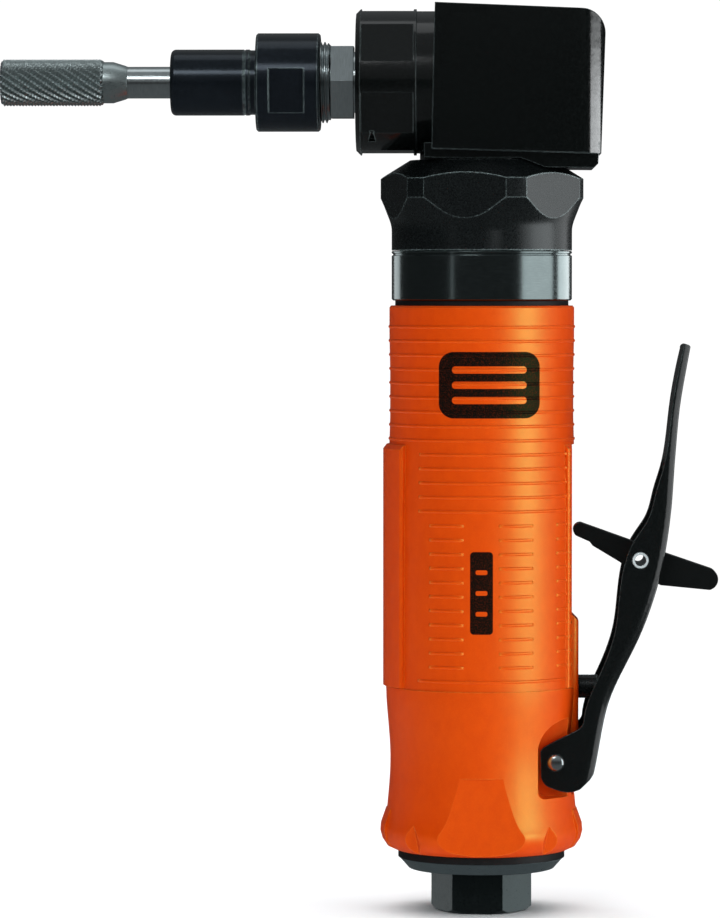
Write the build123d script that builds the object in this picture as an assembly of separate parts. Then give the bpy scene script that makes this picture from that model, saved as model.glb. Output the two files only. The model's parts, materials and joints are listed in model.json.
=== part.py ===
"""Right-angle air die grinder: tilt-valve throttle, vane motor, bevel-gear head, collet and burr.

Millimetres.  The origin is the centre of the air inlet's mouth, +Z runs up the grip to the
angle head, -X points along the output spindle towards the burr, and +X towards the throttle
lever.  Everything that turns with the grip's axis is built about Z.  Everything that turns
with the output spindle is built about Z too and then laid along X by along_spindle().
"""
from build123d import *
import math
import os

# ---- driving dimensions -------------------------------------------------------------
SPINDLE_Z = 165.8          # height of the output spindle's axis
RUN = 0.05                 # radial running clearance of pins and shafts

INLET_HEX = 17.46          # across the flats of the air inlet, 11/16 inch
INLET_BORE_R = 5.75        # 1/4 inch pipe thread, plain wall
INLET_BORE_DEEP = 13.0
INLET_LEAD_IN = 0.4        # chamfer at the mouth
HEX_TOP = 8.3
DEFLECTOR_TOP = 10.6
GRIP_BOTTOM = 12.1
GRIP_TOP = 121.2
GRIP_BORE_R = 15.15
GRIP_FOOT_BORE_R = 12.2    # narrower bore round the lever's pivot
GRIP_STEP = 40.6           # height where the bore widens
BUSHING_R = 8.0
BUSHING_TOP = 24.0

CHAMBER_R = 5.4            # valve chamber below the seat
SEAT_Z = 30.8              # underside of the valve seat
PLUNGER_Z = 44.8
PLUNGER_R = 2.35
BOSS_X = 19.4              # outer face of the plunger's boss
LAND_X = 18.0              # flat land that the lock lever's foot stands over

MOTOR_BOTTOM = 50.0
MOTOR_R = 13.0             # outside of the cylinder and its end plates
CYLINDER_Z = (62.0, 104.0)
CYLINDER_BORE_R = 11.2
CYLINDER_OFFSET = 0.9      # the bore's eccentricity
ROTOR_R = 10.1
VANES = 5

CASE_RING_R = 18.05
CASE_RING_Z = (122.2, 132.1)
CASE_THREAD_R = 16.4
CASE_TOP = 144.5
SPIGOT_BOTTOM = 138.0
NECK_R = 12.4
NUT_BOTTOM = 132.2
NUT_TOP = 150.2
NUT_FLATS = 37.2           # across the flats of the clamp nut

LEVER_PIVOT = (14.8, 30.2)     # X, Z
LEVER_HALF_WIDTH = 9.0
LEVER_WALL = 1.5
LOCK_PIVOT = (31.6, 70.6)      # X, Z
LOCK_HALF_WIDTH = 3.0
PIVOT_PIN_R = 1.6

GEAR_MODULE = 0.9
PINION_TEETH = 15
GEAR_TEETH = 19
GEAR_FACE = 3.6
BACKLASH = 0.10

BURR_R = 4.77              # 3/8 inch burr
SHANK_R = 3.175            # 1/4 inch shank


# ---- helpers ------------------------------------------------------------------------
def turned(*outline):
    """Solid of revolution about Z of a closed outline of (radius, height) points."""
    face = make_face(Plane.XZ * Polyline(*outline, close=True))
    return revolve(face, Axis.Z)


def ring(outer, inner, bottom, top):
    return turned((inner, bottom), (outer, bottom), (outer, top), (inner, top))


def rod(radius, bottom, top):
    return turned((0, bottom), (radius, bottom), (radius, top), (0, top))


def sector(outline, middle, half_angle):
    """Part of a solid of revolution, half_angle degrees each side of the direction middle."""
    face = make_face(Plane.XZ * Polyline(*outline, close=True))
    return Rot(0, 0, middle - half_angle) * revolve(face, Axis.Z, revolution_arc=2 * half_angle)


def hex_prism(across_flats, bottom, top, turn=0.0):
    face = RegularPolygon(across_flats / 2, 6, major_radius=False)
    return Pos(0, 0, bottom) * Rot(0, 0, turn) * extrude(face, top - bottom)


def plate(outline, half_width, middle=0.0):
    """Plate of an outline of (X, Z) points, half_width each side of Y = middle."""
    face = make_face(Plane.XZ * Polyline(*outline, close=True))
    return Pos(0, middle, 0) * extrude(face, half_width, both=True)


def cross_pin(radius, place, half_length, middle=0.0):
    """Cylinder along Y through the point place = (X, Z)."""
    return Pos(place[0], middle, place[1]) * Rot(90, 0, 0) * Cylinder(radius, 2 * half_length)


def along_spindle(shape):
    """Lay a shape built about Z along the output spindle: its height becomes X."""
    return Pos(0, 0, SPINDLE_Z) * Rot(0, 90, 0) * shape


def cut_flats(shape, distance, angles, bottom, top):
    """Cut flats at a distance from Z, facing each of the angles."""
    for angle in angles:
        tool = Pos(distance + 10, 0, (bottom + top) / 2) * Box(20, 60, top - bottom)
        shape = shape - Rot(0, 0, angle) * tool
    return shape


def spring(radius, wire_r, bottom, top, turns):
    """Coil spring about Z between two heights."""
    height = top - bottom - 2 * wire_r
    path = Pos(0, 0, bottom + wire_r) * Helix(height / turns, height, radius)
    section = Plane(path @ 0, z_dir=path % 0) * Circle(wire_r)
    return sweep(section, path, is_frenet=True)


# ---- ball bearings ------------------------------------------------------------------
class Bearing:
    """Deep-groove ball bearing about Z: its pieces are made at the origin."""

    def __init__(self, bore_r, outer_r, width, ball_r, balls):
        self.bore_r = bore_r
        self.outer_r = outer_r
        self.width = width
        self.ball_r = ball_r
        self.balls = balls
        self.pitch_r = (bore_r + outer_r) / 2

    def groove(self):
        return Torus(self.pitch_r, self.ball_r + RUN)

    def outer_ring(self):
        land = self.pitch_r + 0.55 * self.ball_r
        return ring(self.outer_r, land, -self.width / 2, self.width / 2) - self.groove()

    def inner_ring(self):
        land = self.pitch_r - 0.55 * self.ball_r
        return ring(land, self.bore_r, -self.width / 2, self.width / 2) - self.groove()

    def ball_set(self):
        ball = Pos(self.pitch_r, 0, 0) * Sphere(self.ball_r)
        return [Rot(0, 0, 360 * n / self.balls) * ball for n in range(self.balls)]

    def cage(self):
        wall = 0.3 * self.ball_r
        band = ring(self.pitch_r + wall, self.pitch_r - wall, -self.ball_r, self.ball_r)
        pocket = Pos(self.pitch_r, 0, 0) * Sphere(self.ball_r + RUN)
        for n in range(self.balls):
            band = band - Rot(0, 0, 360 * n / self.balls) * pocket
        return band

    def cage_ratio(self):
        """Turns of the cage for one turn of the inner ring."""
        return (self.pitch_r - self.ball_r) / (2 * self.pitch_r)


MOTOR_BEARING = Bearing(bore_r=4.0, outer_r=9.5, width=6.0, ball_r=1.7, balls=8)
SPINDLE_BEARING = Bearing(bore_r=5.0, outer_r=9.5, width=5.0, ball_r=1.2, balls=11)
MOTOR_BEARING_Z = {"rear": 57.0, "front": 109.5, "pinion": 149.0}
SPINDLE_BEARING_X = {"spindle_front": -19.5, "spindle_rear": 15.5}


# ---- air inlet, valve and exhaust -----------------------------------------------------
def inlet_bushing():
    hexagon = hex_prism(INLET_HEX, 0, HEX_TOP, turn=-65)
    corner = INLET_HEX / 2 / math.cos(math.radians(30))
    edge = corner - 0.9
    bevel = turned((0, 0), (edge, 0), (corner + 0.2, 0.9), (corner + 0.2, 20), (0, 20))
    body = (hexagon & bevel) + rod(BUSHING_R, HEX_TOP, BUSHING_TOP)
    mouth_r = INLET_BORE_R + INLET_LEAD_IN
    throat = turned((0, -1), (mouth_r, -1), (mouth_r, 0),
                    (INLET_BORE_R, INLET_LEAD_IN), (INLET_BORE_R, INLET_BORE_DEEP),
                    (5.2, INLET_BORE_DEEP + 0.6), (5.2, 26), (0, 26))
    return body - throat


def inlet_screen():
    disc = rod(5.2, 16.0, 16.8)
    hole = Pos(0, 0, 16.4) * Cylinder(0.45, 2)
    for circle_r, count in ((0, 1), (1.6, 6), (3.2, 12)):
        for n in range(count):
            disc = disc - Rot(0, 0, 360 * n / count) * Pos(circle_r, 0, 0) * hole
    return disc


def exhaust_ports(circle_r, radius, bottom, top):
    port = Pos(circle_r, 0, (bottom + top) / 2) * Cylinder(radius, top - bottom)
    return [Rot(0, 0, 15 + 30 * n) * port for n in range(12)]


def exhaust_deflector():
    body = turned((BUSHING_R, HEX_TOP), (14.3, HEX_TOP), (14.6, HEX_TOP + 0.1),
                  (16.4, DEFLECTOR_TOP - 0.2), (16.5, DEFLECTOR_TOP), (BUSHING_R, DEFLECTOR_TOP))
    return body - exhaust_ports(11.3, 0.9, HEX_TOP - 1, DEFLECTOR_TOP + 1)


def exhaust_gasket():
    body = ring(16.7, BUSHING_R, DEFLECTOR_TOP, GRIP_BOTTOM)
    return body - exhaust_ports(11.3, 0.9, DEFLECTOR_TOP - 1, GRIP_BOTTOM + 1)


def muffler_element():
    return ring(GRIP_FOOT_BORE_R, 9.7, GRIP_BOTTOM, 22.0)


def valve_body():
    foot_r = GRIP_FOOT_BORE_R - RUN
    body = turned((0, GRIP_BOTTOM), (9.7, GRIP_BOTTOM), (9.7, 22.0), (foot_r, 24.0),
                  (foot_r, GRIP_STEP), (15.1, GRIP_STEP), (15.1, MOTOR_BOTTOM),
                  (MOTOR_R, MOTOR_BOTTOM), (MOTOR_R, 53.0), (0, 53.0))
    passage = turned((0, 0), (BUSHING_R, 0), (BUSHING_R, BUSHING_TOP + 1.2),
                     (CHAMBER_R, BUSHING_TOP + 1.2), (CHAMBER_R, SEAT_Z + 1.5),
                     (4.6, SEAT_Z + 1.5), (4.6, 48.0), (3.0, 49.0), (3.0, 60.0), (0, 60.0))
    bushing_hole = Pos(12, 0, PLUNGER_Z) * Rot(0, 90, 0) * Cylinder(3.8, 16)
    body = body - passage - bushing_hole
    upper_flute = Pos(15.4, 0, 46) * Cylinder(1.3, 12)
    lower_flute = Pos(12.4, 0, 32) * Cylinder(1.2, 22)
    gallery = ring(20, 11.2, GRIP_STEP - 0.01, GRIP_STEP + 1.6)
    for angle in (60, 90, 120, 150, 210, 240, 270, 300):
        body = body - Rot(0, 0, angle) * (upper_flute + lower_flute)
    return body - gallery


def inlet_seal():
    return ring(BUSHING_R, CHAMBER_R + 0.7, BUSHING_TOP, BUSHING_TOP + 1.2)


def valve_seat():
    return turned((3.6, SEAT_Z), (CHAMBER_R, SEAT_Z), (CHAMBER_R, SEAT_Z + 1.5),
                  (3.9, SEAT_Z + 1.5))


def valve_spring():
    return spring(4.0, 0.35, 17.0, 28.7, 5)


def tilt_valve():
    return turned((0, 28.9), (4.3, 28.9), (4.7, 29.3), (4.7, SEAT_Z - 0.2), (1.4, SEAT_Z - 0.2),
                  (1.2, SEAT_Z + 1.0), (1.2, PLUNGER_Z + 1.6), (0.8, PLUNGER_Z + 2.0),
                  (0, PLUNGER_Z + 2.0))


def plunger_bushing():
    shape = ring(3.8, PLUNGER_R + RUN, 6.5, BOSS_X)
    return Pos(0, 0, PLUNGER_Z) * Rot(0, 90, 0) * shape


PLUNGER_IN = 1.35              # X of the plunger's inner end
PLUNGER_OUT = 24.1             # X of the plunger's domed outer end


def plunger():
    groove = ring(4, 1.75, 9.0, 10.2)
    body = turned((0, PLUNGER_IN), (0.8, PLUNGER_IN + 0.1), (1.6, PLUNGER_IN + 0.55),
                  (PLUNGER_R, PLUNGER_IN + 1.4),
                  (PLUNGER_R, PLUNGER_OUT - 0.9), (1.75, PLUNGER_OUT - 0.25),
                  (0.9, PLUNGER_OUT), (0, PLUNGER_OUT))
    return Pos(0, 0, PLUNGER_Z) * Rot(0, 90, 0) * (body - groove)


def plunger_oring():
    shape = Pos(0, 0, 9.6) * Torus(2.06, 0.3)
    return Pos(0, 0, PLUNGER_Z) * Rot(0, 90, 0) * shape


# ---- composite grip -------------------------------------------------------------------
PAD_Z = (45.2, 93.5)


def grip_shell():
    waist = Spline((19.15, 45.0), (18.9, 40.0), (18.3, 31.2), (18.75, 22.5), (19.7, 16.8),
                   tangents=((0, -1), (0.35, -1)))
    shoulder = ThreePointArc((19.7, 16.8), (19.35, 13.9), (17.0, GRIP_BOTTOM))
    upper = Polyline((17.0, GRIP_BOTTOM), (10, GRIP_BOTTOM), (10, GRIP_TOP), (18.2, GRIP_TOP),
                     (18.5, GRIP_TOP - 0.4), (18.5, 115.0), (18.35, 108.0), (18.35, 99.0),
                     (18.5, 94.0), (18.75, 80.0), (18.9, 45.0), (19.15, 45.0))
    return revolve(make_face(Plane.XZ * (waist + shoulder + upper)), Axis.Z)


def pad(outer_r, middle, half_angle):
    """Raised grip pad with rounded edges."""
    bottom, top = PAD_Z
    outline = ((16.5, bottom), (outer_r, bottom), (outer_r, top - 0.9), (outer_r - 0.7, top),
               (16.5, top))
    body = sector(outline, middle, half_angle)
    upright = body.edges().filter_by(Axis.Z).sort_by(lambda e: e.center().X ** 2 + e.center().Y ** 2)
    return fillet(upright[-2:], 0.6)


def side_lobe(middle):
    outline = ((17.0, 21.4), (19.15, 20.4), (20.2, 17.4), (20.3, 15.9), (19.9, 14.4), (18.9, 12.9),
               (17.2, GRIP_BOTTOM + 0.1), (16.5, 13.5))
    return sector(outline, middle, 17.5)


def valley(angle):
    """Shallow V cut, deeper towards the bottom edge of the grip."""
    section = Polyline((0, 0), (6, 10), (6, -10), close=True)
    prism = extrude(make_face(section), 16, both=True)
    lean = math.degrees(math.atan2(2.15, 8.0))
    return Rot(0, 0, angle) * Pos(18.7, 0, 15.8) * Rot(0, lean, 0) * prism


def lever_pocket(side):
    """Recess for one ear of the throttle lever; side is -1 at the front, +1 at the back."""
    left, floor = 11.2, 23.4
    roof = ThreePointArc((left, 33.4), (12.9, 37.0), (16.9, 39.0))
    rest = Polyline((16.9, 39.0), (26, 41.2), (26, floor), (left + 1.5, floor))
    corner = ThreePointArc((left + 1.5, floor), (left + 0.44, floor + 0.44), (left, floor + 1.5))
    edge = Line((left, floor + 1.5), (left, 33.4))
    face = make_face(Plane.XZ * (roof + rest + corner + edge))
    inner = 7.2
    depth = 16.0
    return Pos(0, side * (inner + depth / 2), 0) * extrude(face, depth / 2, both=True)


def plunger_boss():
    outline = ((14, 59.6), (18.0, 59.6), (BOSS_X, 58.2), (BOSS_X, 33.0), (14, 33.0))
    body = plate(outline, 5.2)
    long_edges = body.edges().filter_by(Axis.Z).sort_by(Axis.X)
    return fillet(long_edges[-2:], 1.2)


def grip_sleeve():
    bottom, top = PAD_Z
    lever_land = Pos(LAND_X + 5, 0, (bottom + top) / 2 - 0.2) * Box(10, 30, top - bottom + 0.4)
    body = grip_shell() + pad(19.75, 180, 35.5) + pad(19.45, 0, 27.0) - lever_land
    body = body + side_lobe(0) + side_lobe(180) + plunger_boss()
    for angle in (46, 134, 226, 314):
        body = body - valley(angle)
    body = cut_flats(body, 17.85, (90, 270), 0, 27.8)
    for side in (-1, 1):
        body = body - lever_pocket(side)
    web_relief = Pos(LAND_X + 5, 0, 29.1) * Box(10, 24, 11.4)
    bore = rod(GRIP_FOOT_BORE_R, 0, GRIP_STEP) + rod(GRIP_BORE_R, GRIP_STEP, 130)
    bushing_hole = Pos(15, 0, PLUNGER_Z) * Rot(0, 90, 0) * Cylinder(3.8, 12)
    pin_hole = cross_pin(PIVOT_PIN_R, LEVER_PIVOT, 12)
    return body - web_relief - bore - bushing_hole - pin_hole


def lever_pivot_pin():
    return cross_pin(PIVOT_PIN_R, LEVER_PIVOT, LEVER_HALF_WIDTH + 0.2)


def grip_seal_ring():
    return ring(17.35, 15.15, GRIP_TOP, CASE_RING_Z[0])


# ---- vane motor -------------------------------------------------------------------------
def motor_case():
    low, high = CASE_RING_Z
    groove = high - 0.7
    return turned((MOTOR_R + RUN, MOTOR_BOTTOM), (15.1, MOTOR_BOTTOM), (15.1, low),
                  (CASE_RING_R - 0.3, low), (CASE_RING_R, low + 0.3), (CASE_RING_R, groove - 0.25),
                  (CASE_RING_R - 0.3, groove - 0.1), (CASE_RING_R - 0.3, groove + 0.1),
                  (CASE_RING_R, groove + 0.25), (CASE_RING_R, high - 0.15),
                  (CASE_RING_R - 0.15, high), (CASE_THREAD_R, high), (CASE_THREAD_R, CASE_TOP - 0.6),
                  (CASE_THREAD_R - 0.6, CASE_TOP), (NECK_R + RUN, CASE_TOP),
                  (NECK_R + RUN, SPIGOT_BOTTOM), (MOTOR_R + RUN, SPIGOT_BOTTOM))


def motor_gasket():
    return ring(MOTOR_R, 4.0, 53.0, 53.8)


def dowel(bottom, top):
    return Pos(0, -11.75, (bottom + top) / 2) * Cylinder(0.8, top - bottom)


def rear_end_plate():
    body = turned((4.6, 60.0), (9.5, 60.0), (9.5, 53.8), (MOTOR_R, 53.8), (MOTOR_R, CYLINDER_Z[0]),
                  (4.6, CYLINDER_Z[0]))
    port = Pos(11.2, 0, 58) * Cylinder(1.0, 12)
    for angle in (25, 45, 65):
        body = body - Rot(0, 0, angle) * port
    return body - dowel(58, 64)


def cylinder_liner():
    bottom, top = CYLINDER_Z
    body = rod(MOTOR_R, bottom, top) - Pos(0, CYLINDER_OFFSET, 0) * rod(CYLINDER_BORE_R, 0, 200)
    port = Rot(90, 0, 0) * Cylinder(1.3, 20, align=(Align.CENTER, Align.CENTER, Align.MIN))
    for n in range(6):
        body = body - Pos(0, 0, bottom + 8.5 + 5 * n) * Rot(0, 0, 120) * port
    return body - dowel(58, 66)


def front_end_plate():
    top = CYLINDER_Z[1]
    return turned((4.6, top), (MOTOR_R, top), (MOTOR_R, 112.5), (9.5, 112.5), (9.5, 106.5),
                  (4.6, 106.5))


def motor_spacer():
    return ring(MOTOR_R, 10.8, 112.5, SPIGOT_BOTTOM)


def rotor():
    bottom, top = CYLINDER_Z
    body = turned((0, 54.0), (3.6, 54.0), (4.0, 54.4), (4.0, bottom + 0.15),
                  (ROTOR_R, bottom + 0.15), (ROTOR_R, top - 0.15), (4.0, top - 0.15), (4.0, 116.0),
                  (0, 116.0))
    slot = Pos(10, 0, (bottom + top) / 2) * Box(10, 1.6, top - bottom)
    for n in range(VANES):
        body = body - Rot(0, 0, 18 + 360 * n / VANES) * slot
    return body - hex_prism(4.3, 106, 120)


def vanes():
    bottom, top = CYLINDER_Z
    blade = Pos(7.6, 0, (bottom + top) / 2) * Box(4.9, 1.5, top - bottom - 0.4)
    return [Rot(0, 0, 18 + 360 * n / VANES) * blade for n in range(VANES)]


# ---- bevel gears ------------------------------------------------------------------------
def involute(angle):
    return math.tan(angle) - angle


def bevel_outline(teeth, other_teeth, distance, first_tooth):
    """Tooth outline of a straight bevel gear in the plane at a distance from the apex.

    The tooth form is the involute of the equivalent spur gear on the back cone."""
    pitch_angle = math.atan2(teeth, other_teeth)
    pitch_r = GEAR_MODULE * teeth / 2
    cone = pitch_r / math.sin(pitch_angle)
    virtual_r = cone * math.tan(pitch_angle)
    pressure = math.radians(20)
    base_r = virtual_r * math.cos(pressure)
    thickness = math.pi * GEAR_MODULE / 2 - BACKLASH
    steps = (-1.2, -0.55, 0.0, 0.5, 0.95)

    def flank(step):
        virtual = virtual_r + step * GEAR_MODULE
        press = math.acos(min(1.0, base_r / max(virtual, base_r)))
        half = thickness / 2 / virtual_r + involute(pressure) - involute(press)
        radius = distance * math.tan(pitch_angle + math.atan(step * GEAR_MODULE / cone))
        turn = half * virtual / (pitch_r + step * GEAR_MODULE * math.cos(pitch_angle))
        return radius, turn

    points = []
    for n in range(teeth):
        middle = first_tooth + 2 * math.pi * n / teeth
        for side, order in ((-1, steps), (1, steps[::-1])):
            for step in order:
                radius, turn = flank(step)
                angle = middle + side * turn
                points.append((radius * math.cos(angle), radius * math.sin(angle)))
    return points


def bevel_teeth(teeth, other_teeth, first_tooth):
    """Toothed ring about Z with its apex at the origin, below the apex."""
    pitch_angle = math.atan2(teeth, other_teeth)
    cone = GEAR_MODULE * teeth / 2 / math.sin(pitch_angle)
    large = cone * math.cos(pitch_angle)
    small = large * (cone - GEAR_FACE) / cone
    big = Pos(0, 0, -large) * make_face(
        Polyline(*bevel_outline(teeth, other_teeth, large, first_tooth), close=True))
    little = Pos(0, 0, -small) * make_face(
        Polyline(*bevel_outline(teeth, other_teeth, small, first_tooth), close=True))
    return loft([big, little], ruled=True)


PINION_LARGE = GEAR_MODULE * GEAR_TEETH / 2        # apex to the pinion's large end, along Z
GEAR_LARGE = GEAR_MODULE * PINION_TEETH / 2        # apex to the gear's large end, along X


def pinion_shaft():
    teeth = Pos(0, 0, SPINDLE_Z) * bevel_teeth(PINION_TEETH, GEAR_TEETH, math.pi)
    back = SPINDLE_Z - PINION_LARGE
    stem = turned((0, 117.0), (4.0, 117.0), (4.0, 152.0), (5.3, 152.0), (5.3, back),
                  (0, back))
    return stem + teeth + hex_prism(4.2, 106.5, 117.5)


def pinion_locknut():
    return hex_prism(11.0, 141.6, 146.0) - rod(4.0, 140, 150)


def pinion_retainer():
    body = ring(9.5, 7.2, 142.0, 146.0)
    for angle in (0, 180):
        body = body - Rot(0, 0, angle) * Pos(8.4, 0, 142.4) * Box(4, 2, 1.6)
    return body


def output_bevel_gear():
    """Gear about Z in spindle coordinates, teeth towards +X."""
    half_tooth = math.pi / GEAR_TEETH
    teeth = bevel_teeth(GEAR_TEETH, PINION_TEETH, half_tooth)
    hub = turned((0, -11.6), (7.0, -11.6), (8.1, -10.4), (8.1, -8.0), (6.8, -GEAR_LARGE),
                 (0, -GEAR_LARGE))
    return along_spindle(hub + teeth - rod(4.5, -20, 0))


# ---- angle head -------------------------------------------------------------------------
def head_box():
    """Main block of the head: its outline leans two degrees with the casting's draft."""
    corner = 4.8
    face = make_face(Plane.XZ * Polyline((-9.3, 181.1), (24.6, 179.7), (23.6, 151.3), (-9.9, 152.3),
                                         close=True))
    body = extrude(face, 14.5, both=True)
    top_back = body.edges().filter_by(Axis.Y).sort_by(lambda e: e.center().X + e.center().Z)[-1]
    body = fillet(top_back, corner)
    plan = Pos(0, 0, 166) * Box(50, 29, 40)
    plan = fillet(plan.edges().filter_by(Axis.Z).sort_by(Axis.X)[-2:], 6.5)
    return body & plan


def head_ledge():
    outline = ((-11.4, 150.6), (2.0, 150.2), (12.0, 148.6), (22.2, 148.5), (23.0, 149.3),
               (23.2, 153.5), (-11.4, 153.5))
    over_nut = turned((0, 140), (20.9, 140), (20.9, 146.6), (14.6, NUT_TOP + 0.3),
                      (0, NUT_TOP + 0.3))
    return plate(outline, 12.6) - over_nut


def angle_head():
    nose = along_spindle(rod(14.2, -13.0, -5.0) + rod(12.6, -16.0, -13.0))
    neck = turned((0, SPIGOT_BOTTOM), (NECK_R, SPIGOT_BOTTOM), (NECK_R, CASE_TOP), (16.0, CASE_TOP),
                  (16.0, 147.4), (NECK_R, 147.4), (NECK_R, 152.8), (0, 152.8))
    body = head_box() + head_ledge() + nose + neck
    cavity = along_spindle(turned((0, -20), (10.7, -20), (10.7, -3.5), (9.5, -3.5), (9.5, 18.2),
                                  (7.6, 18.2), (7.6, 19.6), (0, 19.6)))
    shaft_bore = turned((0, 130), (9.5, 130), (9.5, 152.0), (8.6, 152.0), (8.6, 164), (0, 164))
    fitting_hole = Pos(6.0, 12.5, 172.0) * Rot(90, 0, 0) * Cylinder(2.0, 12)
    return body - cavity - shaft_bore - fitting_hole


def grease_fitting():
    """Flush grease fitting on the back of the head."""
    body = turned((0.8, 8.0), (2.0, 8.0), (2.0, 14.5), (3.1, 14.5), (3.1, 15.2), (2.4, 15.7),
                  (0.8, 15.7))
    return Pos(6.0, 0, 172.0) * Rot(-90, 0, 0) * body


def clamp_nut():
    outer = Polyline((16.45, NUT_BOTTOM), (18.05, NUT_BOTTOM), (18.05, 136.0))
    flare = Spline((18.05, 136.0), (18.9, 139.3), (20.35, 142.6), tangents=((0, 1), (0.62, 1)))
    top = Polyline((20.35, 142.6), (20.35, 146.5), (14.4, NUT_TOP), (12.6, NUT_TOP), (12.6, 147.5),
                   (16.45, 147.5), (16.45, NUT_BOTTOM))
    body = revolve(make_face(Plane.XZ * (outer + flare + top)), Axis.Z)
    angles = [-90 - 10.4 + 60 * n for n in range(6)]
    return cut_flats(body, NUT_FLATS / 2, angles, NUT_BOTTOM - 1, NUT_TOP + 1)


def bearing_cap():
    body = turned((6.6, -25.1), (13.7, -25.1), (14.6, -24.2), (14.6, -13.05), (12.65, -13.05),
                  (12.65, -16.0), (11.6, -17.0), (9.5, -17.0), (9.5, -22.0), (8.2, -22.0),
                  (8.2, -23.6), (6.6, -23.6))
    angles = [-90 - 32.5 + 60 * n for n in range(6)]
    body = cut_flats(body, 13.9, angles, -24.0, -13.6)
    body = along_spindle(body)
    spanner = math.radians(-50)
    place = Pos(-21.8, 14.0 * -math.cos(spanner), SPINDLE_Z + 14.0 * math.sin(spanner))
    return body - place * Rot(90 + math.degrees(spanner), 0, 0) * Cylinder(0.75, 3)


def dust_shield():
    return along_spindle(ring(8.2, 6.3, -23.6, -22.3))


# ---- output spindle ---------------------------------------------------------------------
def spindle():
    body = turned((0, -43.3), (7.4, -43.3), (7.9, -42.8), (7.9, -33.4), (7.45, -32.9),
                  (7.45, -30.4), (7.15, -30.1), (6.1, -30.1),
                  (6.1, -22.0), (5.0, -22.0), (5.0, -11.6), (4.5, -11.6), (4.5, -4.3), (3.7, -4.3),
                  (3.7, -3.3), (4.5, -3.3), (4.5, 7.0), (6.0, 7.0), (6.0, 13.0), (5.0, 13.0),
                  (5.0, 18.0), (0, 18.0))
    socket = turned((0, -60), (5.2, -60), (5.2, -43.3), (4.3, -33.0), (3.6, -32.6), (3.6, -28.0),
                    (0, -28.0))
    hexagon = hex_prism(14.25, -30.1, -25.6, turn=30)
    return along_spindle(body + hexagon - socket)


def gear_spacer():
    return along_spindle(ring(6.4, 5.0, -17.0, -11.6))


def gear_snap_ring():
    shape = ring(5.2, 3.7, -4.3, -3.3) - Pos(6, 0, -3.8) * Box(6, 1.6, 3)
    return along_spindle(shape)


def collet():
    body = turned((SHANK_R, -56.0), (4.3, -56.0), (5.2, -53.6), (5.2, -43.3), (4.3, -33.0),
                  (SHANK_R, -33.0))
    slit = Pos(6, 0, -45) * Box(12, 0.5, 20)
    for angle in (0, 90, 180, 270):
        body = body - Rot(0, 0, angle) * slit
    return along_spindle(body)


def collet_nut():
    outer = Polyline((3.5, -62.2), (5.6, -62.2))
    nose = ThreePointArc((5.6, -62.2), (6.3, -61.9), (6.6, -61.2))
    side = Polyline((6.6, -61.2), (6.6, -47.6), (6.4, -47.4), (6.6, -47.2), (6.6, -46.5),
                    (6.45, -46.3), (6.45, -45.1), (9.5, -45.1), (9.84, -44.75), (9.84, -32.7),
                    (9.5, -32.3), (7.95, -32.3), (7.95, -43.4), (5.3, -43.4), (5.3, -53.6),
                    (4.3, -56.0), (3.5, -56.0), (3.5, -62.2))
    body = revolve(make_face(Plane.XZ * (outer + nose + side)), Axis.Z)
    angles = (-77.5, 102.5)
    return along_spindle(cut_flats(body, 8.75, angles, -42.4, -35.4))


def burr_shank():
    return along_spindle(rod(SHANK_R, -70.9, -34.0))


def burr_head():
    return along_spindle(turned((0, -96.3), (4.3, -96.3), (BURR_R, -95.8), (BURR_R, -75.8),
                                (4.13, -75.2), (4.13, -73.5), (SHANK_R, -70.9), (0, -70.9)))


# ---- throttle and lock levers -------------------------------------------------------------
def lever_back():
    """Outer edge of the throttle lever in X, Z, from the tip down to its foot."""
    return Spline((41.5, 113.0), (40.6, 108.1), (39.4, 100.8), (38.8, 94.5), (38.3, 88.0),
                  (37.9, 82.0), (37.3, 76.6), (36.0, 69.0), (33.8, 61.2), (31.2, 54.6),
                  (28.1, 48.4), (25.4, 42.2), (23.6, 34.0), (22.4, 27.8))


def lever_front():
    """Inner edge of the lever's flanges, from above the ears up to the tip."""
    return Spline((20.3, 38.2), (21.0, 41.8), (23.7, 48.2), (26.6, 56.6), (27.5, 64.2),
                  (30.4, 74.6), (33.2, 79.0), (34.6, 84.0), (36.0, 88.6), (37.1, 94.5),
                  (37.8, 100.8), (39.0, 108.1), (40.0, 112.6))


def lever_outline():
    back = lever_back()
    foot = Polyline((22.4, 27.8), (21.6, 26.7), (19.7, 24.9))
    sole = Spline((19.7, 24.9), (17.5, 24.3), (14.0, 25.1), (11.9, 27.3),
                  tangents=((-1, -0.5), (-0.3, 1)))
    ear = Polyline((11.9, 27.3), (11.75, 32.4))
    crown = Spline((11.75, 32.4), (13.1, 33.7), (16.0, 35.2), (18.6, 36.5), (20.3, 38.2),
                   tangents=((0.4, 1), (0.35, 1)))
    front = lever_front()
    tip = ThreePointArc((40.0, 112.6), (40.85, 113.5), (41.5, 113.0))
    return back + foot + sole + ear + crown + front + tip


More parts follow.
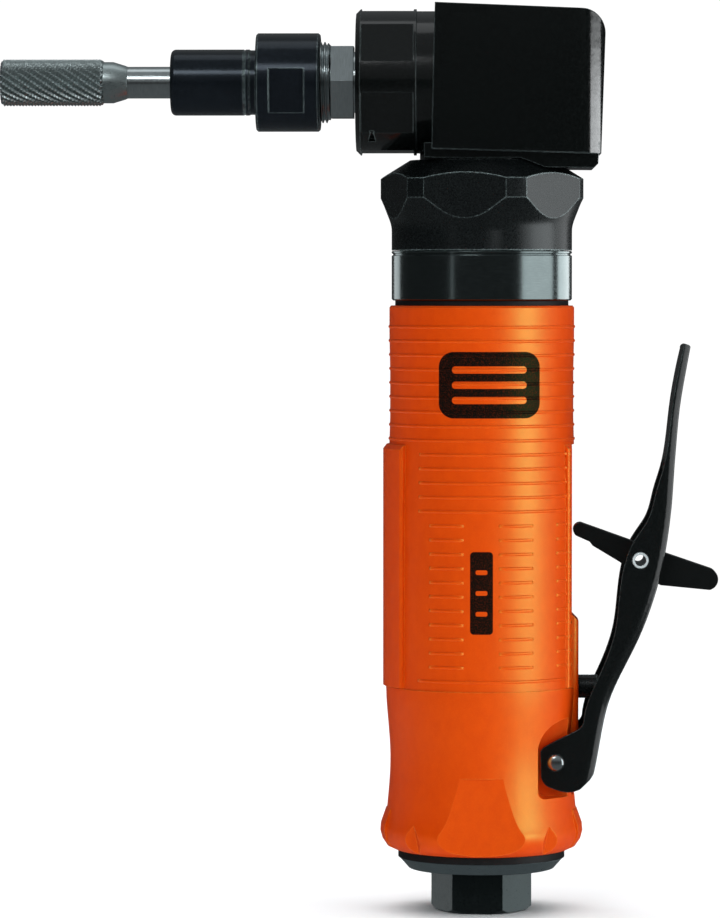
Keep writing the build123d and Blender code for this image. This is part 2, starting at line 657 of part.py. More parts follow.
def throttle_lever():
    body = extrude(make_face(Plane.XZ * lever_outline()), LEVER_HALF_WIDTH, both=True)
    rim = body.edges().sort_by(lambda e: -e.length)
    back_edges = [e for e in rim[:6] if e.center().X > 32.0]
    body = fillet(back_edges, 1.9)
    inside = Spline((37.2, 120.0), (37.2, 108.0), (37.2, 100.8), (36.9, 94.5), (36.6, 88.0),
                    (36.3, 82.0), (35.7, 76.6), (34.5, 69.4), (32.3, 61.8), (29.8, 55.4),
                    (26.7, 49.0), (23.9, 42.6), (22.1, 34.2), (20.6, 22.0))
    hollow = make_face(Plane.XZ * (inside + Polyline((20.6, 22.0), (0, 22.0), (0, 120), (37.2, 120))))
    body = body - extrude(hollow, LEVER_HALF_WIDTH - LEVER_WALL, both=True)
    slot = Pos(38, 0, 70.0) * Box(16, 2 * LOCK_HALF_WIDTH + 1.2, 33.2)
    body = body - slot - cross_pin(PIVOT_PIN_R + RUN, LEVER_PIVOT, 20)
    return body - cross_pin(PIVOT_PIN_R, LOCK_PIVOT, 20)


def lock_pin():
    tube = cross_pin(PIVOT_PIN_R, LOCK_PIVOT, LEVER_HALF_WIDTH)
    return tube - cross_pin(1.1, LOCK_PIVOT, 20)


def lock_spring():
    """Torsion spring beside the lock lever, one coil stack on each side."""
    stacks = []
    for side in (-1, 1):
        coil = spring(2.55, 0.25, 0, 3.4, 4)
        stacks.append(Pos(LOCK_PIVOT[0], side * 5.3 + 1.7, LOCK_PIVOT[1]) * Rot(90, 0, 0) * coil)
    return stacks


def lock_lever():
    top = Polyline((19.9, 77.75), (30.4, 74.0), (33.5, 73.3), (36.9, 71.6), (46.0, 68.5))
    finger = ThreePointArc((46.0, 68.5), (47.3, 66.3), (45.6, 64.35))
    under = Polyline((45.6, 64.35), (35.8, 65.3), (32.5, 67.2), (29.3, 68.6), (27.7, 69.9),
                     (22.2, 73.2), (21.6, 74.0), (18.9, 75.2))
    toe = ThreePointArc((18.9, 75.2), (18.35, 76.4), (19.9, 77.75))
    body = extrude(make_face(Plane.XZ * (top + finger + under + toe)), LOCK_HALF_WIDTH, both=True)
    return body - cross_pin(PIVOT_PIN_R + RUN, LOCK_PIVOT, 10)


# ---- the assembly -------------------------------------------------------------------------
def bearing_nodes():
    nodes = {}
    motor_balls = []
    motor_cages = []
    for name, height in MOTOR_BEARING_Z.items():
        place = Pos(0, 0, height)
        nodes[name + "_bearing_outer_ring"] = place * MOTOR_BEARING.outer_ring()
        nodes[name + "_bearing_inner_ring"] = place * MOTOR_BEARING.inner_ring()
        motor_balls += [place * ball for ball in MOTOR_BEARING.ball_set()]
        motor_cages.append(place * MOTOR_BEARING.cage())
    spindle_balls = []
    spindle_cages = []
    for name, station in SPINDLE_BEARING_X.items():
        place = Pos(0, 0, station)
        nodes[name + "_bearing_outer_ring"] = along_spindle(place * SPINDLE_BEARING.outer_ring())
        nodes[name + "_bearing_inner_ring"] = along_spindle(place * SPINDLE_BEARING.inner_ring())
        spindle_balls += [along_spindle(place * ball) for ball in SPINDLE_BEARING.ball_set()]
        spindle_cages.append(along_spindle(place * SPINDLE_BEARING.cage()))
    nodes["motor_bearing_balls"] = motor_balls
    nodes["motor_bearing_cages"] = motor_cages
    nodes["spindle_bearing_balls"] = spindle_balls
    nodes["spindle_bearing_cages"] = spindle_cages
    return nodes


SINGLE_PIECES = (
    inlet_bushing, inlet_screen, inlet_seal, exhaust_deflector, exhaust_gasket, muffler_element,
    valve_body, valve_seat, valve_spring, tilt_valve, plunger_bushing, plunger, plunger_oring,
    grip_sleeve, lever_pivot_pin, grip_seal_ring, motor_case, motor_gasket, rear_end_plate,
    cylinder_liner, front_end_plate, motor_spacer, rotor, vanes, pinion_shaft, pinion_locknut,
    pinion_retainer, output_bevel_gear, angle_head, grease_fitting, clamp_nut, bearing_cap,
    dust_shield, spindle, gear_spacer, gear_snap_ring, collet, collet_nut, burr_shank, burr_head,
    throttle_lever, lock_pin, lock_spring, lock_lever)


def all_nodes():
    nodes = {make.__name__: make() for make in SINGLE_PIECES}
    nodes["cylinder_dowel"] = dowel(58, 66)
    nodes.update(bearing_nodes())
    return nodes


os.makedirs("parts", exist_ok=True)
for node, shape in all_nodes().items():
    if isinstance(shape, list):
        shape = Compound(children=shape)
    export_step(shape, "parts/" + node + ".step")
print("bearing cage ratios", MOTOR_BEARING.cage_ratio(), SPINDLE_BEARING.cage_ratio())
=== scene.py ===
"""Looks of the right-angle air die grinder: materials, cut teeth, threads, grip ribs and studio."""
import json
import math

import bpy
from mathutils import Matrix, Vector
from mathutils.bvhtree import BVHTree


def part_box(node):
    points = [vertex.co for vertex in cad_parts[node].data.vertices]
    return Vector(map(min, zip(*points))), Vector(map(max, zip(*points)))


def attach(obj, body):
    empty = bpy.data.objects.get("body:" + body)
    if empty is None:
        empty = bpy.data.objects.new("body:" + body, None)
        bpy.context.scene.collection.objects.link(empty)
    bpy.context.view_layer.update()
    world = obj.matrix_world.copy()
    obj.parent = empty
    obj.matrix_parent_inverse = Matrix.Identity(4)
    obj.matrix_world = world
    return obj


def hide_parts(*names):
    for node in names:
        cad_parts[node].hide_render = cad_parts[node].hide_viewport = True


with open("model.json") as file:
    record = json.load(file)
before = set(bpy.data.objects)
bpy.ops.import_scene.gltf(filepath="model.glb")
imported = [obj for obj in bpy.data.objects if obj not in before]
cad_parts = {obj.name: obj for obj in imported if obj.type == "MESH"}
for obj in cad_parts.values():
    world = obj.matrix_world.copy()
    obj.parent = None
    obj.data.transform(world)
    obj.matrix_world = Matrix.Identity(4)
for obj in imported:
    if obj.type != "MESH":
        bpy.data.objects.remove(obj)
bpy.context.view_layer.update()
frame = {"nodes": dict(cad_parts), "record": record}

MM = 0.001
NODES = frame["nodes"]


# ---- shader helpers -------------------------------------------------------------------
class Shader:
    """A material's node tree, with short calls for the nodes that the finishes share."""

    def __init__(self, name):
        self.material = bpy.data.materials.new(name)
        self.material.use_nodes = True
        self.tree = self.material.node_tree
        self.surface = self.tree.nodes["Principled BSDF"]
        self.place = self.tree.nodes.new("ShaderNodeTexCoord").outputs["Object"]

    def set(self, **values):
        """Constant values on the surface's own sockets; an underscore stands for a space."""
        for key, value in values.items():
            self.surface.inputs[key.replace("_", " ")].default_value = value
        return self

    def link(self, output, socket):
        """A link from an output to a socket."""
        self.tree.links.new(output, socket)

    def use(self, socket, output):
        """An output that drives one of the surface's own sockets."""
        self.link(output, self.surface.inputs[socket])

    def math(self, operation, a, b=None, clamp=False):
        """A maths node on numbers or other nodes' outputs."""
        node = self.tree.nodes.new("ShaderNodeMath")
        node.operation = operation
        node.use_clamp = clamp
        for slot, value in enumerate((a, b)):
            if value is None:
                continue
            if isinstance(value, (int, float)):
                node.inputs[slot].default_value = value
            else:
                self.link(value, node.inputs[slot])
        return node.outputs[0]

    def stretched(self, x, y, z):
        """The object's own place in millimetres, scaled along each axis."""
        node = self.tree.nodes.new("ShaderNodeMapping")
        node.inputs["Scale"].default_value = (x / MM, y / MM, z / MM)
        self.link(self.place, node.inputs["Vector"])
        return node.outputs[0]

    def noise(self, x=1.0, y=1.0, z=1.0, detail=3.0, rough=0.55):
        """Noise with that many cells for each millimetre along each axis."""
        node = self.tree.nodes.new("ShaderNodeTexNoise")
        node.inputs["Scale"].default_value = 1.0
        node.inputs["Detail"].default_value = detail
        node.inputs["Roughness"].default_value = rough
        self.link(self.stretched(x, y, z), node.inputs["Vector"])
        return node.outputs["Fac"]

    def between(self, value, low, high, from_low=0.3, from_high=0.7):
        """A value from low to high as the given output goes from from_low to from_high."""
        node = self.tree.nodes.new("ShaderNodeMapRange")
        for name, number in (("From Min", from_low), ("From Max", from_high),
                             ("To Min", low), ("To Max", high)):
            node.inputs[name].default_value = number
        self.link(value, node.inputs["Value"])
        return node.outputs["Result"]

    def blend(self, factor, first, second):
        """Colour between two colours; either may be another node's output."""
        node = self.tree.nodes.new("ShaderNodeMix")
        node.data_type = "RGBA"
        self.link(factor, node.inputs["Factor"])
        for socket, colour in ((node.inputs[6], first), (node.inputs[7], second)):
            if isinstance(colour, tuple):
                socket.default_value = (*colour, 1.0)
            else:
                self.link(colour, socket)
        return node.outputs[2]

    def bump(self, height, depth, strength=1.0, before=None):
        """Bump of a height field, its full depth in metres."""
        node = self.tree.nodes.new("ShaderNodeBump")
        node.inputs["Strength"].default_value = strength
        node.inputs["Distance"].default_value = depth
        self.link(height, node.inputs["Height"])
        if before is not None:
            self.link(before, node.inputs["Normal"])
        return node.outputs["Normal"]

    def soft_edges(self, radius):
        """A normal that rounds the edges by a radius, for the shading only."""
        node = self.tree.nodes.new("ShaderNodeBevel")
        node.samples = 4
        node.inputs["Radius"].default_value = radius
        return node.outputs["Normal"]

    def edge_wear_and_highlight(self, radius, most=1.0):
        """Mask for edge wear and a painted edge highlight: up to most along edges, broken up by
        noise, 0 on open faces.
        """
        facing = self.tree.nodes.new("ShaderNodeVectorMath")
        facing.operation = "DOT_PRODUCT"
        self.link(self.soft_edges(radius), facing.inputs[0])
        self.link(self.tree.nodes.new("ShaderNodeNewGeometry").outputs["Normal"], facing.inputs[1])
        edge = self.between(facing.outputs["Value"], most, 0.0, 0.90, 0.995)
        return self.math("MULTIPLY", edge, self.between(self.noise(1.6, 1.6, 1.6), 0.25, 1.0))


# ---- finishes -------------------------------------------------------------------------
def gloss_paint(name, colour, dull=0.10):
    """Gloss black enamel over a casting: faint orange peel and dust."""
    s = Shader(name)
    dust = s.noise(2.0, 2.0, 2.0, detail=6.0)
    fine = s.noise(0.35, 0.35, 0.35, detail=2.0)
    lighter = tuple(min(1.0, c * 1.7 + 0.002) for c in colour)
    paint = s.blend(s.between(dust, 0.0, 1.0, 0.45, 0.8), colour, lighter)
    # lighter grey along the edges: a painted edge highlight, with some wear
    s.use("Base Color", s.blend(s.edge_wear_and_highlight(0.3 * MM, 0.6), paint, (0.16, 0.20, 0.20)))
    s.use("Roughness", s.between(dust, dull * 0.8, dull * 1.35))
    s.use("Normal", s.bump(fine, 0.03 * MM, 0.5, s.soft_edges(0.25 * MM)))
    return s.set(Specular_IOR_Level=0.42, Coat_Weight=0.12, Coat_Roughness=0.06).material


def satin_black(name, colour, rough, metal=0.6, grain=0.02, along=(3.0, 3.0, 3.0)):
    """Black oxide or blackened steel with a fine grain."""
    s = Shader(name)
    speck = s.noise(*along, detail=5.0)
    cloud = s.noise(0.15, 0.15, 0.15, detail=3.0)
    lighter = tuple(min(1.0, c * 2.2 + 0.004) for c in colour)
    tone = s.math("MULTIPLY", s.between(speck, 0.0, 1.0, 0.35, 0.8), s.between(cloud, 0.4, 1.0))
    black = s.blend(tone, colour, lighter)
    # light grey along the edges: a painted edge highlight, with some wear
    s.use("Base Color", s.blend(s.edge_wear_and_highlight(0.4 * MM, 1.0), black, (0.40, 0.50, 0.50)))
    s.use("Roughness", s.between(speck, rough * 0.8, rough * 1.25))
    s.use("Normal", s.bump(speck, grain * MM, 0.8, s.soft_edges(0.2 * MM)))
    return s.set(Metallic=metal, Specular_IOR_Level=0.5).material


def metal(name, colour, rough, along, grain=0.006):
    """Bare metal whose turning or grinding marks run where the noise is stretched."""
    s = Shader(name)
    marks = s.noise(*along, detail=4.0, rough=0.7)
    cloud = s.noise(0.25, 0.25, 0.25, detail=4.0)
    darker = tuple(c * 0.72 for c in colour)
    tone = s.math("MULTIPLY", s.between(marks, 0.2, 1.0), s.between(cloud, 0.5, 1.0))
    s.use("Base Color", s.blend(tone, darker, colour))
    s.use("Roughness", s.between(marks, rough * 0.75, rough * 1.35))
    s.use("Normal", s.bump(marks, grain * MM, 0.7, s.soft_edges(0.12 * MM)))
    return s.set(Metallic=1.0).material


def dull_solid(name, colour, rough, cell=2.0, grain=0.03):
    """Rubber, resin, felt and matte plastic."""
    s = Shader(name)
    speck = s.noise(cell, cell, cell, detail=6.0)
    darker = tuple(c * 0.6 for c in colour)
    s.use("Base Color", s.blend(s.between(speck, 0.0, 1.0), darker, colour))
    s.use("Roughness", s.between(speck, rough * 0.85, min(1.0, rough * 1.1)))
    s.use("Normal", s.bump(speck, grain * MM, 0.8, s.soft_edges(0.2 * MM)))
    return s.set(Specular_IOR_Level=0.35).material


PRINT_SHARPNESS = 12.0             # the ink's edge fades over 1/12 mm


def past_straight(s, place, middle, straight):
    """How far a place lies beyond the straight part of a bar's side, along one axis."""
    off = s.math("ABSOLUTE", s.math("SUBTRACT", place, middle))
    return s.math("MAXIMUM", s.math("SUBTRACT", off, straight), 0.0)


def rounded_bar(s, middle_x, middle_z, half_x, half_z, radius):
    """1 inside a rounded rectangle printed on the grip's front, in millimetres, else 0."""
    split = s.tree.nodes.new("ShaderNodeSeparateXYZ")
    s.link(s.stretched(1.0, 1.0, 1.0), split.inputs[0])
    x, y, z = split.outputs
    across = past_straight(s, x, middle_x, half_x - radius)
    up = past_straight(s, z, middle_z, half_z - radius)
    squares = s.math("ADD", s.math("MULTIPLY", across, across), s.math("MULTIPLY", up, up))
    reach = s.math("SQRT", squares)
    inside = s.math("MULTIPLY", s.math("SUBTRACT", radius, reach), PRINT_SHARPNESS, clamp=True)
    return s.math("MULTIPLY", inside, s.math("LESS_THAN", y, 0.0))


def grip_print(s):
    """Plain generic marks in black ink: a striped badge above, a barred strip below."""
    badge = rounded_bar(s, 1.5, 105.6, 10.0, 6.6, 3.0)
    for height in (102.6, 105.6, 108.6):
        stripe = rounded_bar(s, 1.5, height, 7.4, 0.75, 0.7)
        badge = s.math("SUBTRACT", badge, stripe, clamp=True)
    strip = rounded_bar(s, 0.0, 64.6, 2.3, 8.2, 0.8)
    for height in (60.5, 64.6, 68.7):
        gap = rounded_bar(s, 0.0, height, 1.2, 0.5, 0.4)
        strip = s.math("SUBTRACT", strip, gap, clamp=True)
    return s.math("MAXIMUM", badge, strip)


def grip_composite():
    """Moulded orange composite: fine grain, mottling, a yellow-green sheen and dull print."""
    s = Shader("grip_composite_finish")
    grain = s.noise(4.0, 4.0, 4.0, detail=8.0, rough=0.65)
    mottle = s.noise(0.5, 0.5, 0.35, detail=4.0)
    orange = s.blend(s.between(mottle, 0.0, 1.0), (0.73, 0.047, 0.0002), (0.78, 0.058, 0.0003))
    orange = s.blend(s.between(grain, 0.0, 0.25, 0.5, 0.8), orange, (0.90, 0.15, 0.004))
    # lighter orange along the edges: a painted edge highlight, with some wear
    orange = s.blend(s.edge_wear_and_highlight(0.3 * MM, 0.55), orange, (0.98, 0.30, 0.04))
    worn_ink = s.math("MULTIPLY", grip_print(s), s.between(grain, 1.0, 0.82, 0.5, 0.8))
    s.use("Base Color", s.blend(worn_ink, orange, (0.006, 0.0045, 0.004)))
    s.use("Roughness", s.between(grain, 0.36, 0.52))
    s.use("Normal", s.bump(grain, 0.035 * MM, 0.75, s.soft_edges(0.15 * MM)))
    s.use("Specular IOR Level", s.between(worn_ink, 0.30, 0.02))
    return s.set(Specular_Tint=(0.50, 1.0, 0.20, 1.0)).material


ROUND_Z = (0.6, 0.6, 7.0)          # rings about the grip's axis
ROUND_X = (7.0, 0.6, 0.6)          # rings about the spindle's axis
EVEN = (2.5, 2.5, 2.5)


def finishes():
    """One finish for each material slot of the record."""
    return {
        "grip_composite": grip_composite(),
        "head_black": gloss_paint("head_black_finish", (0.0015, 0.0022, 0.0021), dull=0.13),
        "lever_black": gloss_paint("lever_black_finish", (0.003, 0.0042, 0.0042), dull=0.20),
        "nut_black": satin_black("nut_black_finish", (0.0055, 0.0075, 0.0078), 0.27, 0.45,
                                 grain=0.004),
        "collet_black": satin_black("collet_black_finish", (0.010, 0.014, 0.019), 0.19, 0.7,
                                    grain=0.008, along=(5.0, 1.4, 1.4)),
        "lock_black": dull_solid("lock_black_finish", (0.004, 0.0055, 0.0055), 0.35, 3.0, 0.02),
        "bright_steel": metal("bright_steel_finish", (0.56, 0.61, 0.62), 0.20, ROUND_X),
        "ground_steel": metal("ground_steel_finish", (0.58, 0.59, 0.60), 0.24, ROUND_X),
        "carbide": metal("carbide_finish", (0.50, 0.57, 0.57), 0.34, EVEN, grain=0.02),
        "zinc_metal": metal("zinc_metal_finish", (0.38, 0.46, 0.48), 0.33, ROUND_Z),
        "inlet_steel": metal("inlet_steel_finish", (0.060, 0.078, 0.079), 0.34, EVEN, grain=0.001),
        "alloy": metal("alloy_finish", (0.66, 0.67, 0.68), 0.32, ROUND_Z),
        "iron": metal("iron_finish", (0.24, 0.24, 0.25), 0.42, ROUND_Z, grain=0.02),
        "bronze": metal("bronze_finish", (0.55, 0.33, 0.12), 0.30, ROUND_Z),
        "seal_rubber": dull_solid("seal_rubber_finish", (0.010, 0.010, 0.011), 0.55),
        "vane_resin": dull_solid("vane_resin_finish", (0.12, 0.06, 0.025), 0.5),
        "felt": dull_solid("felt_finish", (0.45, 0.43, 0.38), 0.9, 4.0, 0.1),
    }


def dress_cad_nodes(finish):
    """The record's finish for each node, but a darker polish on the motor case's ring."""
    special = {"motor_case": metal("case_steel_finish", (0.20, 0.24, 0.24), 0.16, ROUND_Z, 0.004),
               "lever_pivot_pin": metal("pin_steel_finish", (0.68, 0.71, 0.72), 0.16, EVEN, 0.003)}
    for row in frame["record"]["subparts"]:
        data = NODES[row["node"]].data
        data.materials.clear()
        data.materials.append(special.get(row["node"], finish[row["material_slot"]]))


# ---- mesh helpers ---------------------------------------------------------------------
def make_piece(name, points, faces, body, slot, finish, replaces=()):
    """A smooth-shaded mesh that rides a body and wears the finish of a material slot."""
    data = bpy.data.meshes.new(name)
    data.from_pydata(points, [], faces)
    data.validate()
    data.materials.append(finish[slot])
    data.polygons.foreach_set("use_smooth", [True] * len(data.polygons))
    piece = bpy.data.objects.new(name, data)
    bpy.context.scene.collection.objects.link(piece)
    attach(piece, body)
    if replaces:
        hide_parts(*replaces)
    return piece


def ring_faces(rows, columns, closed_rows=False):
    """Quads of a grid whose columns close on themselves."""
    faces = []
    for i in range(rows if closed_rows else rows - 1):
        for j in range(columns):
            k = (j + 1) % columns
            n = (i + 1) % rows
            faces.append((i * columns + j, i * columns + k, n * columns + k, n * columns + j))
    return faces


# ---- cut burr -------------------------------------------------------------------------
def saw(phase, lean):
    """Sawtooth tooth profile, 1 at the edge: phase in teeth, lean the short flank's share."""
    t = phase - math.floor(phase)
    return 1.0 - t / (1.0 - lean) if t < 1.0 - lean else (t - 1.0 + lean) / lean


def burr_head(finish):
    """Double-cut cylindrical burr: left-over diamonds between long and cross flutes."""
    low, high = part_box("burr_head")
    axis_z = (low.z + high.z) / 2
    radius = (high.z - low.z) / 2
    toothed_end = low.x + 20.6 * MM
    neck_r = 4.13 * MM
    shank_r = 3.175 * MM
    sides = 420
    steps = 250
    flutes, cross = 20, 24
    depth, cross_depth = 0.45 * MM, 0.32 * MM
    lead = 42.0 * MM
    cross_lead = 21.0 * MM
    stations = [low.x + (toothed_end - low.x) * i / (steps - 1) for i in range(steps)]
    points = []
    for x in stations:
        edge = min(x - low.x, toothed_end - x)
        chamfer = max(0.0, 0.5 * MM - edge)
        for j in range(sides):
            turn = 2 * math.pi * j / sides
            along = x - low.x
            tooth = saw(flutes * (turn / (2 * math.pi) - along / lead), 0.3)
            chip = saw(cross * (turn / (2 * math.pi) + along / cross_lead), 0.35)
            r = radius - chamfer - depth * (1 - tooth) - cross_depth * (1 - chip) * 0.9
            points.append((x, r * math.cos(turn), axis_z + r * math.sin(turn)))
    profile = [(toothed_end, neck_r), (toothed_end + 1.9 * MM, neck_r),
               (high.x - 0.6 * MM, shank_r + 0.25 * MM), (high.x, shank_r)]
    for x, r in profile:
        for j in range(sides):
            turn = 2 * math.pi * j / sides
            points.append((x, r * math.cos(turn), axis_z + r * math.sin(turn)))
    rows = steps + len(profile)
    faces = ring_faces(rows, sides)
    points.append((low.x + 0.25 * MM, 0.0, axis_z))
    points.append((high.x, 0.0, axis_z))
    centre = len(points) - 2
    last = (rows - 1) * sides
    faces += [(centre, (j + 1) % sides, j) for j in range(sides)]
    faces += [(centre + 1, last + j, last + (j + 1) % sides) for j in range(sides)]
    piece = make_piece("burr_head_cut", points, faces, "spindle", "carbide", finish, ["burr_head"])
    piece.data.set_sharp_from_angle(angle=math.radians(28))
    return piece


# ---- spindle thread -------------------------------------------------------------------
def spindle_thread(finish):
    """The spindle's male thread where it shows behind the collet nut."""
    nut_low, nut_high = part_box("collet_nut")
    axis_z = (nut_low.z + nut_high.z) / 2
    clear, length = 0.02 * MM, 2.1 * MM
    start, end = nut_high.x + clear, nut_high.x + length
    crest, root, pitch = 8.1 * MM, 7.4 * MM, 0.8 * MM
    sides, steps = 160, 56
    points = []
    for i in range(steps):
        x = start + (end - start) * i / (steps - 1)
        runout = min(1.0, max(0.0, (end - x) / (0.7 * MM)))
        for j in range(sides):
            turn = 2 * math.pi * j / sides
            phase = (x / pitch - turn / (2 * math.pi)) % 1.0
            height = min(1.0, max(0.0, 1.25 - 2.5 * abs(phase - 0.5)))
            r = root + (crest - root) * height * runout + clear
            points.append((x, r * math.cos(turn), axis_z + r * math.sin(turn)))
    inner = 7.0 * MM
    for x in (end, start):
        for j in range(sides):
            turn = 2 * math.pi * j / sides
            points.append((x, inner * math.cos(turn), axis_z + inner * math.sin(turn)))
    faces = ring_faces(steps + 2, sides, closed_rows=True)
    return make_piece("spindle_thread", points, faces, "spindle", "bright_steel", finish)


# ---- domed head of the lever's pivot pin ----------------------------------------------
def pin_dome(finish):
    """The rounded end of the pivot pin, standing on the pin's flat front face."""
    low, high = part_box("lever_pivot_pin")
    middle = (low + high) / 2
    radius = (high.x - low.x) / 2 - 0.02 * MM
    rise = 0.55 * MM
    rows, sides = 9, 48
    points = []
    for i in range(rows):
        turn = math.pi / 2 * i / rows
        r = radius * math.cos(turn)
        for j in range(sides):
            spin = 2 * math.pi * j / sides
            points.append((middle.x + r * math.cos(spin), low.y - rise * math.sin(turn),
                           middle.z + r * math.sin(spin)))
    points.append((middle.x, low.y - rise, middle.z))
    points.append((middle.x, low.y, middle.z))
    faces = ring_faces(rows, sides)
    last = (rows - 1) * sides
    faces += [(len(points) - 2, last + j, last + (j + 1) % sides) for j in range(sides)]
    faces += [(len(points) - 1, (j + 1) % sides, j) for j in range(sides)]
    return make_piece("pivot_pin_dome", points, faces, "housing", "bright_steel", finish)


# ---- grip ribs ------------------------------------------------------------------------
RIB_PITCH = 2.8
RIB_HEIGHT = 0.22
RIB_HALF_WIDTH = 0.36
RIB_END_HEIGHT = 0.12              # share of the full height where a rib ends
RIB_END_SLOPE = 0.15               # share of the height gained for each degree from an end


class GripSurface:
    """Finds the grip's outer radius at an angle and a height."""

    def __init__(self):
        data = NODES["grip_sleeve"].data
        points = [v.co.copy() for v in data.vertices]
        self.tree = BVHTree.FromPolygons(points, [tuple(p.vertices) for p in data.polygons])

    def radius(self, turn, height):
        out = Vector((math.cos(turn), math.sin(turn), 0.0))
        start = out * 0.04 + Vector((0.0, 0.0, height))
        hit = self.tree.ray_cast(start, -out)[0]
        return math.hypot(hit.x, hit.y)


def rib_section():
    """Outline of a rib: across the rib, and its share of the full height."""
    return ((-1.0, -0.5), (-0.82, 0.35), (-0.4, 0.9), (0.0, 1.0), (0.4, 0.9), (0.82, 0.35),
            (1.0, -0.5))


def add_rib(surface, points, faces, height, first, last):
    """One raised bead round the grip from the angle first to last, in degrees."""
    closed = last - first >= 360
    count = max(8, int((last - first) / 1.5))
    section = rib_section()
    rows = count if closed else count + 1
    base = len(points)
    for i in range(rows):
        turn = math.radians(first + (last - first) * i / count)
        from_end = min(i, count - i) / count * (last - first)
        taper = 1.0 if closed else min(1.0, RIB_END_HEIGHT + RIB_END_SLOPE * from_end)
        ground = surface.radius(turn, height * MM)
        for across, up in section:
            r = ground + RIB_HEIGHT * MM * (up * taper - 0.05)
            z = height * MM + across * RIB_HALF_WIDTH * MM
            points.append((r * math.cos(turn), r * math.sin(turn), z))
    width = len(section)
    for i in range(rows if closed else rows - 1):
        n = (i + 1) % rows
        for j in range(width):
            k = (j + 1) % width
            faces.append((base + i * width + j, base + n * width + j, base + n * width + k,
                          base + i * width + k))
    if not closed:
        faces.append(tuple(base + j for j in range(width)))
        faces.append(tuple(base + (rows - 1) * width + j for j in reversed(range(width))))


def grip_ribs(finish):
    """Raised beads: whole rings near the head, then broken into columns round a blank label."""
    surface = GripSurface()
    points, faces = [], []
    top = 117.0
    for n in range(9):
        add_rib(surface, points, faces, top - RIB_PITCH * n, 0, 360)
    front_wide = (-132.0, -24.0)
    columns = ((-123.5, -100.8), (-79.5, -57.0), (-38.0, -22.5))
    for n in range(9, 26):
        height = top - RIB_PITCH * n
        spans = [front_wide] if n < 14 or n == 25 else columns
        for first, last in spans:
            add_rib(surface, points, faces, height, first, last)
            add_rib(surface, points, faces, height, -last, -first)
    return make_piece("grip_ribs", points, faces, "housing", "grip_composite", finish)


# ---- studio ---------------------------------------------------------------------------
def backdrop():
    """Pale flat floor, which ends where the white air behind it begins."""
    front, back, half_width, steps = -0.7, 0.6, 0.8, 12
    depths = [front + (back - front) * i / steps for i in range(steps + 1)]
    points = [(side * half_width, y, -0.0002) for y in depths for side in (-1, 1)]
    faces = [(2 * i, 2 * i + 1, 2 * i + 3, 2 * i + 2) for i in range(steps)]
    data = bpy.data.meshes.new("studio_floor")
    data.from_pydata(points, [], faces)
    s = Shader("studio_paper")
    paper = s.noise(0.02, 0.02, 0.02, detail=2.0)
    s.use("Base Color", s.blend(paper, (0.86, 0.86, 0.86), (0.90, 0.90, 0.90)))
    s.set(Roughness=0.9, Specular_IOR_Level=0.1)
    data.materials.append(s.material)
    floor = bpy.data.objects.new("studio_floor", data)
    bpy.context.scene.collection.objects.link(floor)
    floor.visible_glossy = False
    return floor


def softbox(name, place, target, size, radiance, shines=True, fills=True, only=None):
    """Area light of a given radiance: shines gives its highlight, fills its diffuse light."""
    light = bpy.data.lights.new(name, "AREA")
    light.shape = "RECTANGLE"
    light.size, light.size_y = size
    light.energy = radiance * math.pi * size[0] * size[1]
    light.color = (0.95, 0.985, 1.0)
    lamp = bpy.data.objects.new(name, light)
    lamp.location = place
    lamp.rotation_euler = (Vector(target) - Vector(place)).to_track_quat("-Z", "Y").to_euler()
    lamp.visible_camera = False
    lamp.visible_glossy = shines
    lamp.visible_diffuse = fills
    bpy.context.scene.collection.objects.link(lamp)
    if only is not None:
        lamp.light_linking.receiver_collection = only


def around(azimuth, distance, height):
    """A place round the object, azimuth in degrees from the front towards the lever's side."""
    turn = math.radians(azimuth)
    return (distance * math.sin(turn), -distance * math.cos(turn), height)


def studio_air():
    """White to the camera's eye, and a dim room with a lighter ceiling to everything else."""
    world = bpy.data.worlds.new("studio_air")
    world.use_nodes = True
    tree = world.node_tree
    room = tree.nodes["Background"]
    direction = tree.nodes.new("ShaderNodeTexCoord").outputs["Generated"]
    split = tree.nodes.new("ShaderNodeSeparateXYZ")
    tree.links.new(direction, split.inputs[0])
    ramp = tree.nodes.new("ShaderNodeValToRGB")
    stops = ((0.0, 0.14), (0.36, 0.12), (0.44, 0.04), (0.56, 0.04), (0.66, 0.10), (0.95, 0.30))
    while len(ramp.color_ramp.elements) < len(stops):
        ramp.color_ramp.elements.new(0.5)
    for element, (spot, level) in zip(ramp.color_ramp.elements, stops):
        element.position = spot
        element.color = (level, level, level, 1.0)
    half = tree.nodes.new("ShaderNodeMath")
    half.operation = "MULTIPLY_ADD"
    half.inputs[1].default_value = half.inputs[2].default_value = 0.5
    tree.links.new(split.outputs["Z"], half.inputs[0])
    tree.links.new(half.outputs[0], ramp.inputs[0])
    tree.links.new(ramp.outputs["Color"], room.inputs["Strength"])
    room.inputs["Color"].default_value = (0.90, 0.97, 1.0, 1.0)
    white = tree.nodes.new("ShaderNodeBackground")
    white.inputs["Strength"].default_value = 1.05
    white.inputs["Color"].default_value = (1.0, 1.0, 1.0, 1.0)
    mix = tree.nodes.new("ShaderNodeMixShader")
    path = tree.nodes.new("ShaderNodeLightPath")
    tree.links.new(path.outputs["Is Camera Ray"], mix.inputs[0])
    tree.links.new(room.outputs[0], mix.inputs[1])
    tree.links.new(white.outputs[0], mix.inputs[2])
    tree.links.new(mix.outputs[0], tree.nodes["World Output"].inputs["Surface"])
    bpy.context.scene.world = world


def group(name, *objects):
    """A collection that a light can be limited to."""
    collection = bpy.data.collections.new(name)
    for member in objects:
        collection.objects.link(member)
    return collection


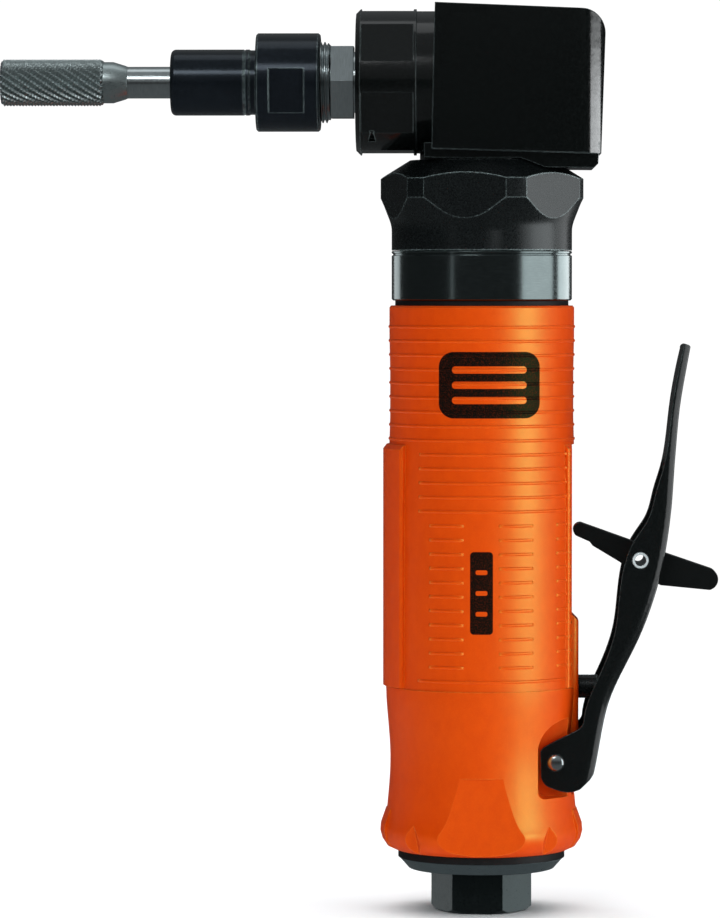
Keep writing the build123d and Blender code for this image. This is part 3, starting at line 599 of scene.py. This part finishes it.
def studio_light(floor, ribs):
    """Soft lights round the object, several of them kept to the pieces that need them."""
    paper = group("paper_only", floor)
    bands = group("bright_bands", NODES["motor_case"], NODES["inlet_bushing"],
                  NODES["exhaust_deflector"])
    head = group("head_only", NODES["angle_head"])
    pin = group("pin_only", NODES["lock_pin"])
    others = [o for o in bpy.data.objects if o.type == "MESH" and o != NODES["angle_head"]]
    all_but_head = group("all_but_head", *others)
    composite = group("composite_only", NODES["grip_sleeve"], ribs)
    blacks = group("blacks_only", NODES["clamp_nut"], NODES["throttle_lever"],
                   NODES["lock_lever"])
    nut = group("nut_only", NODES["clamp_nut"])
    middle = (0.0, 0.0, 0.10)

    # keys on the lever's side, and highlights for the lock pin, the nut and the grip
    softbox("key_right", around(77, 1.2, 0.12), middle, (1.12, 1.0), 1.8, only=all_but_head)
    softbox("key_head", around(76, 1.2, 0.10), middle, (0.95, 0.24), 12.0, only=head)
    softbox("pin_glint", (0.03, -1.3, -0.05), (0.03, 0.0, 0.05), (0.5, 0.25), 1.6, only=pin)
    softbox("nut_glint", around(17, 1.2, 0.30), middle, (0.20, 0.5), 1.6, fills=False, only=nut)
    softbox("nut_side", around(84, 1.2, 0.12), middle, (0.80, 0.9), 2.4, fills=False, only=nut)
    softbox("key_grip", around(57, 1.2, 0.12), middle, (0.42, 0.9), 42.0, fills=False,
            only=composite)

    # rims from behind, and thin strips on the left and above
    softbox("rim_soft", around(122, 1.2, 0.12), middle, (0.7, 1.0), 1.4, fills=False, only=blacks)
    softbox("rim_right", around(131, 1.2, 0.12), middle, (0.75, 1.0), 2.6, only=bands)
    softbox("rim_left", around(-140, 1.2, 0.14), middle, (0.45, 0.9), 1.3, only=bands)
    softbox("strip_left", around(-38, 1.25, 0.14), middle, (0.05, 0.9), 0.7)
    softbox("strip_above", (-0.30, -0.98, 0.86), (-0.05, 0.0, 0.16), (0.44, 0.26), 7.0)
    softbox("sky_front", (0.0, -1.62, 0.88), (0.0, 0.0, 0.88), (2.4, 1.22), 0.11)

    # fills that give no highlight, a top light, and washes for the floor
    softbox("fill_front", around(-20, 1.25, 0.62), middle, (1.0, 1.0), 0.52, shines=False)
    softbox("fill_right", around(55, 1.25, 0.30), middle, (1.0, 1.0), 1.90, shines=False)
    softbox("top", (0.0, 0.15, 1.3), middle, (0.9, 0.5), 0.8)
    softbox("far_wash", (0.0, 0.5, 1.9), (0.0, 0.5, 0.0), (2.4, 1.2), 3.4, only=paper)
    softbox("floor_wash", (0.0, -0.6, 1.9), (0.0, 0.3, 0.0), (2.4, 1.2), 2.4, only=paper)


def camera():
    """A long lens 1 m in front of the tool, tilted slightly down."""
    data = bpy.data.cameras.new("camera")
    data.sensor_fit = "VERTICAL"
    data.sensor_height = 36.0
    data.lens = 195.6
    data.clip_start = 0.01
    lens = bpy.data.objects.new("camera", data)
    place = Vector((0.0, -1.0, 0.127))
    lens.location = place
    aim = Vector((-0.0244, 0.0, 0.0904))
    lens.rotation_euler = (aim - place).to_track_quat("-Z", "Y").to_euler()
    bpy.context.scene.collection.objects.link(lens)
    bpy.context.scene.camera = lens


def colour_management():
    """Plain display transform, with no look and no exposure change."""
    view = bpy.context.scene.view_settings
    view.view_transform = "Standard"
    view.look = "None"
    view.exposure = 0.0


finish = finishes()
dress_cad_nodes(finish)
burr_head(finish)
spindle_thread(finish)
pin_dome(finish)
ribs = grip_ribs(finish)
studio_air()
studio_light(backdrop(), ribs)
camera()
colour_management()
